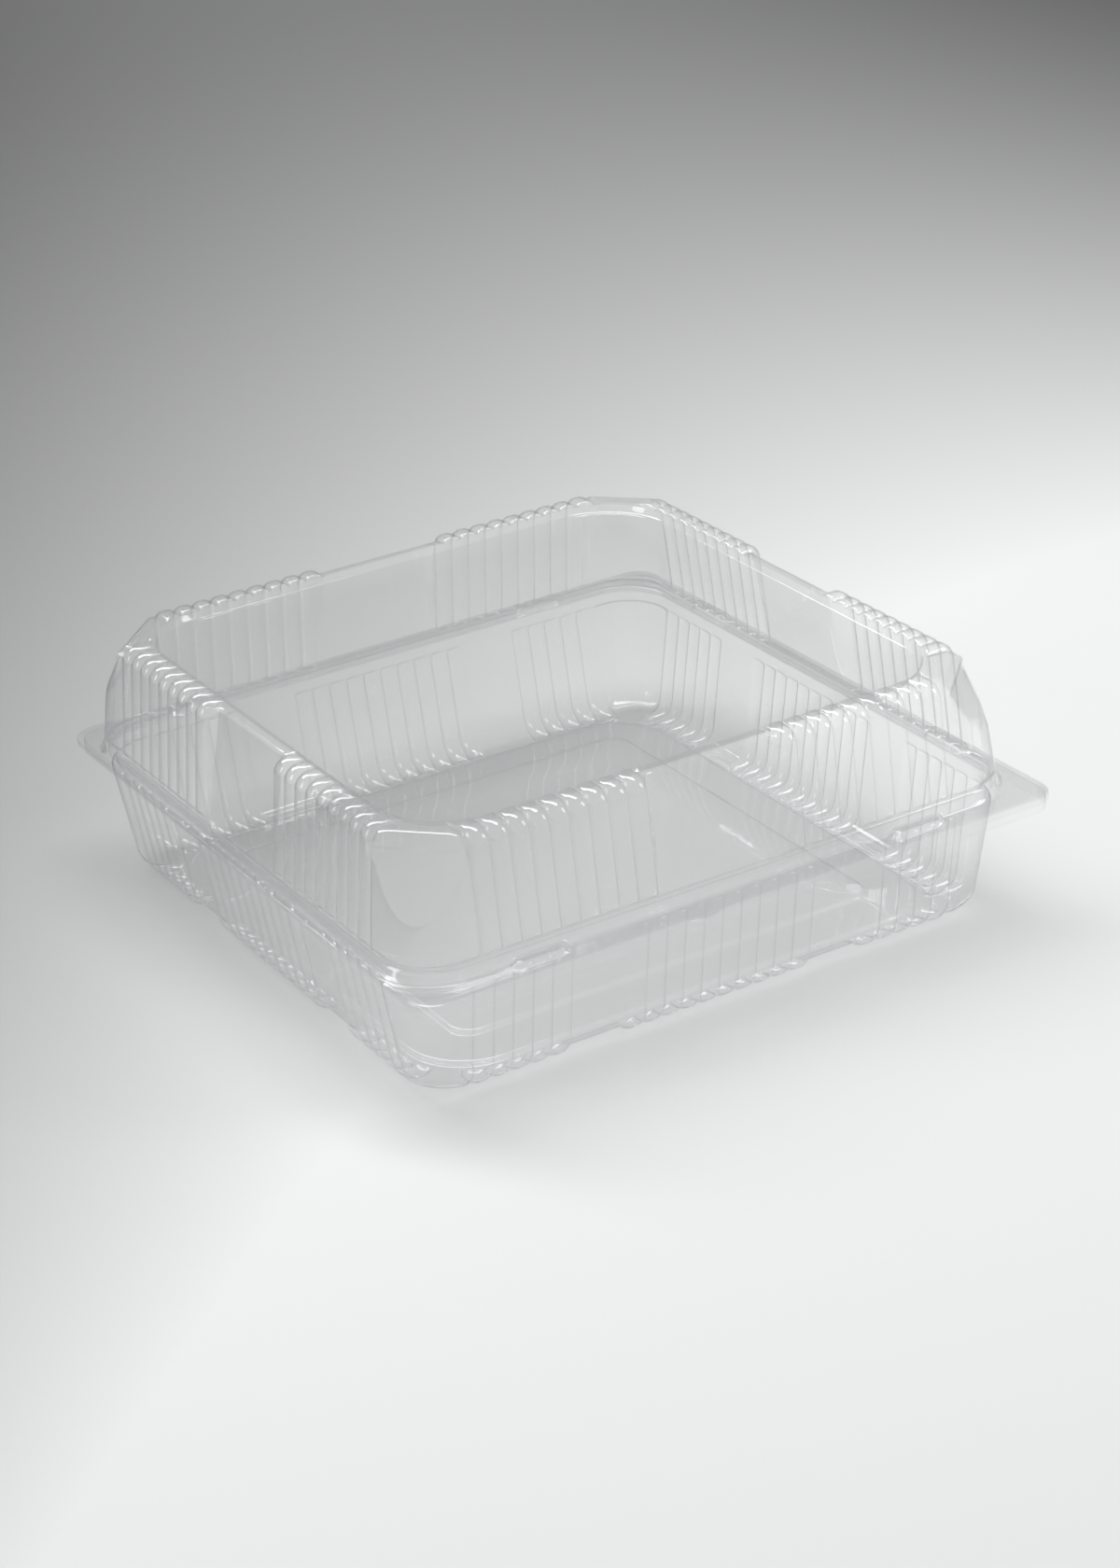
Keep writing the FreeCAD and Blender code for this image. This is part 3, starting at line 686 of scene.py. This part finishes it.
def sheet_material():
    """The one material of the whole pack, made once."""
    look = bpy.context.scene.clamshell_look
    name = "clear formed sheet"
    clear = tuple(look.sheet_tint) + (1.0,)
    edge_on = tuple(look.edge_tint) + (1.0,)
    made = bpy.data.materials.get(name)
    return made or clear_plastic(name, clear, edge_on, look.sheet_roughness)


def finish_piece(piece, body, nodes):
    """Gives a piece its material, hides the solids it stands for and hangs it on the body it moves
    with.
    """
    piece.data.materials.clear()
    piece.data.materials.append(sheet_material())
    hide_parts(*nodes)
    if body:
        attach(piece, body)


class ClamshellLook(bpy.types.PropertyGroup):
    """Thickness, colours and gloss of the sheet."""

    sheet: bpy.props.FloatProperty(
        name="Sheet", description="Thickness of the formed sheet", default=SHEET * MM,
        unit="LENGTH")
    sheet_tint: bpy.props.FloatVectorProperty(
        name="Sheet Tint", description="What one face of the sheet lets through",
        subtype="COLOR", size=3, default=(0.99, 0.991, 0.991))
    edge_tint: bpy.props.FloatVectorProperty(
        name="Edge Tint", description="What one face lets through where it is seen edge-on",
        subtype="COLOR", size=3, default=(0.85, 0.853, 0.854))
    sheet_roughness: bpy.props.FloatProperty(
        name="Sheet Roughness", description="Roughness of the sheet's gloss", default=0.05,
        min=0.0, max=1.0, subtype="FACTOR")


class StudioLook(bpy.types.PropertyGroup):
    """Colour of the studio's floor."""

    floor: bpy.props.FloatVectorProperty(
        name="Floor", description="Colour of the floor round the pack", subtype="COLOR", size=3,
        default=(0.82, 0.825, 0.825))


class CLAMSHELL_OT_lid(bpy.types.Operator):
    """Grow the ribbed lid"""

    bl_idname = "clamshell.lid"
    bl_label = "Lid"

    def execute(self, context):
        lid = grow_shell("lid_shell", lid_rings(), Rows(LID_ROWS, LID_SIDE_END))
        free_hinge_edge(lid)
        thicken(lid, context.scene.clamshell_look.sheet)
        finish_piece(lid, "cover", ["lid"])
        return {"FINISHED"}


class CLAMSHELL_OT_tray(bpy.types.Operator):
    """Grow the ribbed tray"""

    bl_idname = "clamshell.tray"
    bl_label = "Tray"

    def execute(self, context):
        tray = grow_shell("tray_shell", tray_rings(), Rows(TRAY_ROWS, TRAY_SIDE_END))
        thicken(tray, context.scene.clamshell_look.sheet)
        finish_piece(tray, "base", ["tray"])
        return {"FINISHED"}


class CLAMSHELL_OT_fold(bpy.types.Operator):
    """Bend the strip of sheet between tray and lid"""

    bl_idname = "clamshell.fold"
    bl_label = "Fold"

    def execute(self, context):
        deselect()
        middle = (CENTRE_X - RIM_LEFT - FOLD_CLEAR, RIM - FOLD_RADIUS)
        bpy.ops.mesh.primitive_circle_add(vertices=24, radius=FOLD_RADIUS * MM,
                                          rotation=(math.pi / 2, 0, 0))
        strip = bpy.context.object
        strip.name = "fold_strip"
        bpy.ops.object.transform_apply(location=False, rotation=True, scale=False)
        bpy.ops.object.mode_set(mode="EDIT")
        mesh = bmesh.from_edit_mesh(strip.data)
        for vert in mesh.verts:
            vert.select = vert.co.x > 1e-6
        bpy.ops.mesh.delete(type="VERT")
        mesh = bmesh.from_edit_mesh(strip.data)
        lowest = min(mesh.verts, key=lambda vert: vert.co.z)
        bpy.ops.mesh.select_all(action="DESELECT")
        lowest.select = True
        bpy.ops.mesh.extrude_vertices_move()
        bpy.ops.transform.translate(value=((RIM_LEFT - TRAY_LEFT + FOLD_CLEAR) * MM, 0, 0))
        bpy.ops.mesh.select_all(action="SELECT")
        start = (CENTRE_Y - HINGE_HALF) * MM
        bpy.ops.transform.translate(value=(middle[0] * MM, start, middle[1] * MM))
        bpy.ops.mesh.extrude_edges_move()
        bpy.ops.transform.translate(value=(0, 2 * HINGE_HALF * MM, 0))
        bpy.ops.mesh.select_all(action="SELECT")
        bpy.ops.mesh.subdivide(number_cuts=1)
        bpy.ops.object.mode_set(mode="OBJECT")
        wall = strip.modifiers.new("wall", "SOLIDIFY")
        wall.thickness = FOLD_SHEET * MM
        wall.offset = 0.0
        bpy.ops.object.modifier_apply(modifier=wall.name)
        bpy.ops.object.shade_smooth_by_angle(angle=math.radians(50))
        finish_piece(strip, None, ["hinge_strip"])
        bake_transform(strip)
        return {"FINISHED"}


def lamp(name, place, aim, size, power):
    """A soft box standing at place and turned to aim, in metres and watts."""
    bpy.ops.object.light_add(type="AREA", location=place)
    light = bpy.context.object
    light.name = name
    light.data.shape = "RECTANGLE"
    light.data.size, light.data.size_y = size
    light.data.energy = power
    light.rotation_euler = (Vector(aim) - Vector(place)).to_track_quat("-Z", "Y").to_euler()
    return light


def long_lamp(name, place, along, size, power):
    """A long soft box over the pack: along is the direction of its long side."""
    light = lamp(name, place, (0, 0, 0), size, power)
    ahead = -Vector(place).normalized()
    length = (Vector(along) - ahead * ahead.dot(Vector(along))).normalized()
    turn = Matrix((length, length.cross(ahead), -ahead)).transposed()
    light.rotation_euler = turn.to_euler()
    return light


def kept_within(tree, value, reach):
    """The value, held between the two ends of reach."""
    return link_math(tree, "MINIMUM", link_math(tree, "MAXIMUM", value, reach[0]), reach[1])


def painted_shade_floor_material(colour):
    """Studio paper with painted shade: its colour darkens backwards and to the left, as if lit from
    the near right.
    """
    material = bpy.data.materials.new("studio paper")
    material.use_nodes = True
    tree = material.node_tree
    nodes = tree.nodes
    links = tree.links
    paper = nodes["Principled BSDF"]
    paper.inputs["Roughness"].default_value = 0.9
    paper.inputs["Specular IOR Level"].default_value = 0.0
    where = nodes.new("ShaderNodeTexCoord")
    turn = nodes.new("ShaderNodeMapping")
    turn.inputs["Rotation"].default_value = (0, 0, math.radians(FLOOR_TURN))
    part = nodes.new("ShaderNodeSeparateXYZ")
    links.new(where.outputs["Object"], turn.inputs["Vector"])
    links.new(turn.outputs["Vector"], part.inputs["Vector"])
    back = kept_within(tree, part.outputs["Y"], FLOOR_REACH_BACK)
    aside = kept_within(tree, part.outputs["X"], FLOOR_REACH_ASIDE)
    fall = link_math(tree, "MULTIPLY", back, FLOOR_BACK)
    fall = link_math(tree, "ADD", fall, link_math(tree, "MULTIPLY", aside, FLOOR_ASIDE))
    for first, second, weight in ((back, back, FLOOR_BACK_BEND), (aside, aside, FLOOR_ASIDE_BEND),
                                  (back, aside, FLOOR_TWIST)):
        product = link_math(tree, "MULTIPLY", first, second)
        fall = link_math(tree, "ADD", fall, link_math(tree, "MULTIPLY", product, weight))
    # The painted shade: the paper's colour is scaled by the fitted fall of light.
    share = link_math(tree, "MINIMUM", link_math(tree, "EXPONENT", fall, 0.0), FLOOR_LIMIT)
    shade = colour_mix(tree, share, grey(0.0), colour + (1.0,))
    links.new(shade, paper.inputs["Base Color"])
    return material


def studio_air():
    """The world: a plain grey light, and in the gloss a pale front and a darker back."""
    world = bpy.data.worlds.new("studio_air")
    world.use_nodes = True
    tree = world.node_tree
    rays = tree.nodes.new("ShaderNodeLightPath")
    seen = link_math(tree, "MAXIMUM", rays.outputs["Is Camera Ray"],
                     rays.outputs["Is Glossy Ray"])
    seen = link_math(tree, "MAXIMUM", seen, rays.outputs["Is Transmission Ray"])
    where = tree.nodes.new("ShaderNodeTexCoord")
    part = tree.nodes.new("ShaderNodeSeparateXYZ")
    tree.links.new(where.outputs["Generated"], part.inputs["Vector"])
    behind = link_math(tree, "ADD", link_math(tree, "MULTIPLY", part.outputs["X"], AIR_AHEAD[0]),
                       link_math(tree, "MULTIPLY", part.outputs["Y"], AIR_AHEAD[1]))
    behind = link_math(tree, "ADD", behind, AIR_START)
    behind = link_math(tree, "MULTIPLY", behind, AIR_GAIN, clamp=True)
    sky = colour_mix(tree, behind, grey(AIR_FRONT), grey(AIR_BEHIND))
    shade = colour_mix(tree, seen, grey(AIR_PLAIN), sky)
    tree.links.new(shade, tree.nodes["Background"].inputs["Color"])
    return world


class CLAMSHELL_OT_studio(bpy.types.Operator):
    """Set the floor, the soft boxes, the world and the camera"""

    bl_idname = "clamshell.studio"
    bl_label = "Studio"

    def execute(self, context):
        look = context.scene.studio_look
        deselect()
        bpy.ops.mesh.primitive_plane_add(size=12.0, location=(0, 0, -0.0002))
        floor = bpy.context.object
        floor.name = "studio_floor"
        floor.data.materials.append(painted_shade_floor_material(tuple(look.floor)))
        long_lamp("overhead_strip", (-0.05, 0.42, 1.15), (-0.575, 0.79, -0.215), (1.9, 0.35), 13)
        lamp("left_box", (-1.3, 0.3, 0.7), (0, 0, 0.05), (0.5, 0.6), 3)
        lamp("right_box", (1.1, -0.9, 0.9), (0, 0, 0.05), (0.4, 0.6), 3)
        context.scene.world = studio_air()
        place_camera(context.scene)
        context.scene.view_settings.view_transform = "Standard"
        context.scene.cycles.transparent_max_bounces = 32
        return {"FINISHED"}


def place_camera(scene):
    """The photograph's viewpoint, kept as its place and its three turns."""
    yaw, dip, roll = (math.radians(angle) for angle in (CAMERA_YAW, CAMERA_DIP, CAMERA_ROLL))
    ahead = Vector((math.cos(dip) * math.sin(yaw), math.cos(dip) * math.cos(yaw), -math.sin(dip)))
    level = Vector((math.cos(yaw), -math.sin(yaw), 0))
    rise = level.cross(ahead)
    right = level * math.cos(roll) + rise * math.sin(roll)
    up = rise * math.cos(roll) - level * math.sin(roll)
    bpy.ops.object.camera_add()
    camera = bpy.context.object
    camera.name = "studio_camera"
    turn = Matrix((right, up, -ahead)).transposed().to_4x4()
    camera.matrix_world = Matrix.Translation(CAMERA_PLACE) @ turn
    camera.data.sensor_width = 36.0
    camera.data.lens = CAMERA_LENS
    scene.camera = camera


class CLAMSHELL_PT_panel(bpy.types.Panel):
    """Lists the pack's looks and the steps that make it"""

    bl_label = "Clamshell"
    bl_idname = "CLAMSHELL_PT_panel"
    bl_space_type = "VIEW_3D"
    bl_region_type = "UI"
    bl_category = "Clamshell"

    def draw(self, context):
        scene = context.scene
        for look in (scene.clamshell_look, scene.studio_look):
            for name in look.__annotations__:
                self.layout.prop(look, name)
        for step in STEPS:
            self.layout.operator(step)


CLASSES = (ClamshellLook, StudioLook, CLAMSHELL_OT_lid, CLAMSHELL_OT_tray, CLAMSHELL_OT_fold,
           CLAMSHELL_OT_studio, CLAMSHELL_PT_panel)
STEPS = ("clamshell.lid", "clamshell.tray", "clamshell.fold", "clamshell.studio")


def register():
    for item in CLASSES:
        bpy.utils.register_class(item)
    bpy.types.Scene.clamshell_look = bpy.props.PointerProperty(type=ClamshellLook)
    bpy.types.Scene.studio_look = bpy.props.PointerProperty(type=StudioLook)


def unregister():
    del bpy.types.Scene.studio_look
    del bpy.types.Scene.clamshell_look
    for item in reversed(CLASSES):
        bpy.utils.unregister_class(item)


def main():
    register()
    bpy.ops.clamshell.lid()
    bpy.ops.clamshell.tray()
    bpy.ops.clamshell.fold()
    bpy.ops.clamshell.studio()


if __name__ == "__main__":
    main()
